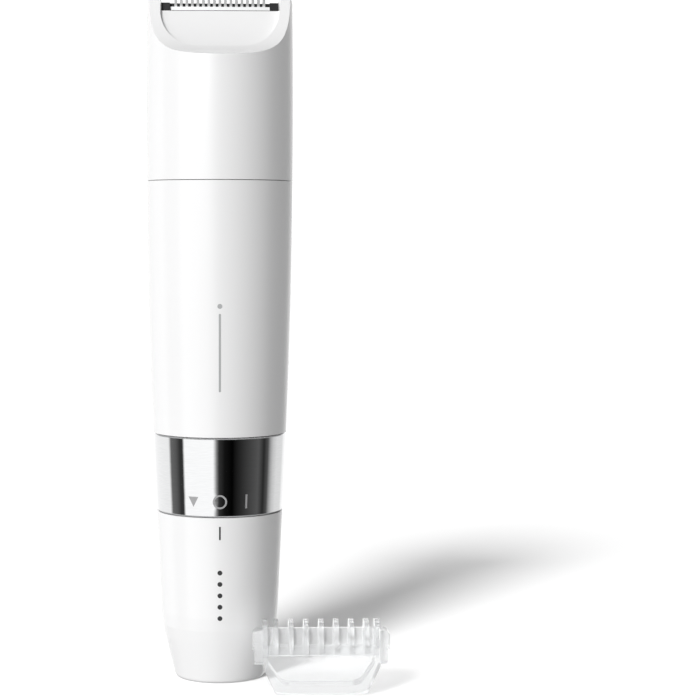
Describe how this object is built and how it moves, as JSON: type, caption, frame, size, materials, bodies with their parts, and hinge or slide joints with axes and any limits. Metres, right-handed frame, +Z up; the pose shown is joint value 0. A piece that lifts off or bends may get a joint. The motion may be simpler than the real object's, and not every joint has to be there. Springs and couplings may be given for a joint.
{
  "type": "body groomer",
  "caption": "Slim round battery body groomer with chrome twist ring, pull-off scooped trimmer head with toothed cutter, and a clear clip-on comb standing beside it.",
  "frame": {"origin": "centre of the battery cover's flat base, on the axis of the handle", "axes": "+Z up along the handle's axis, front with the index mark and the scoop towards -Y, comb towards +X"},
  "size_m": [0.0544, 0.0392, 0.156],
  "materials": {
    "shell_white": "polished",
    "inner_grey": "matt moulded",
    "print_grey": "printed",
    "black_plastic": "satin",
    "ring_chrome": "mirror plated",
    "spring_steel": "drawn wire",
    "motor_steel": "zinc plated",
    "blade_steel": "ground",
    "contact_metal": "plated",
    "seal_rubber": "soft",
    "magnet_ferrite": "sintered",
    "copper_winding": "enamelled",
    "cell_wrap": "printed film",
    "lead_red": "insulation",
    "lead_black": "insulation",
    "capacitor_tan": "dipped",
    "drive_white": "moulded",
    "comb_clear": "clear moulded"
  },
  "bodies": {
    "cover": {"battery_cover": "shell_white", "cover_spring": "spring_steel", "cover_contact_strip": "contact_metal", "cover_o_ring": "seal_rubber", "index_mark": "black_plastic", "cover_dots": "print_grey"},
    "handle": {"handle_shell": "shell_white", "handle_mark": "print_grey", "chassis": "inner_grey", "positive_contact": "contact_metal", "pickup_contact": "contact_metal", "switch_contacts": "contact_metal", "detent_spring": "spring_steel", "motor_can": "motor_steel", "motor_magnets": "magnet_ferrite", "motor_end_cap": "drive_white", "motor_terminals": "contact_metal", "motor_mount": "inner_grey", "mount_screws": "motor_steel", "red_lead": "lead_red", "black_lead": "lead_black", "suppressor": "capacitor_tan", "head_collar": "inner_grey", "head_o_ring": "seal_rubber", "shaft_seal": "seal_rubber"},
    "ring": {"twist_ring": "ring_chrome", "ring_carrier": "inner_grey", "ring_marks": "black_plastic", "switch_bridge": "contact_metal"},
    "battery": {"battery_can": "motor_steel", "battery_sleeve": "cell_wrap"},
    "rotor": {"motor_shaft": "spring_steel", "armature": "copper_winding", "eccentric": "drive_white"},
    "head": {"head_shell": "shell_white", "head_base": "inner_grey", "arm_guide": "inner_grey", "cutter_frame": "black_plastic", "guard_blade": "blade_steel", "blade_spring": "spring_steel"},
    "cutter": {"moving_blade": "blade_steel", "drive_arm": "drive_white"},
    "comb": {"comb_attachment": "comb_clear"}
  },
  "joints": [
    {"name": "handle_lift", "type": "slide", "parent": "cover", "child": "handle", "axis": [0, 0, 1], "range_m": [0, 0.09]},
    {"name": "ring_twist", "type": "hinge", "parent": "handle", "child": "ring", "pos_m": [0, 0, 0.0475], "axis": [0, 0, 1], "range_deg": [-24, 24]},
    {"name": "battery_slide", "type": "slide", "parent": "handle", "child": "battery", "axis": [0, 0, -1], "range_m": [0, 0.045]},
    {"name": "motor_spin", "type": "hinge", "parent": "handle", "child": "rotor", "pos_m": [0, 0, 0.1], "axis": [0, 0, 1], "continuous": true},
    {"name": "head_pull", "type": "slide", "parent": "handle", "child": "head", "axis": [0, 0, 1], "range_m": [0, 0.025]},
    {"name": "blade_stroke", "type": "slide", "parent": "head", "child": "cutter", "axis": [1, 0, 0], "range_m": [-0.00075, 0.00075]},
    {"name": "comb_slide", "type": "slide", "parent": "cover", "child": "comb", "axis": [1, 0, 0], "range_m": [0, 0.05]}
  ],
  "couplings": [
    {"joint": "battery_slide", "follows": "handle_lift", "ratio": 0.5}
  ]
}
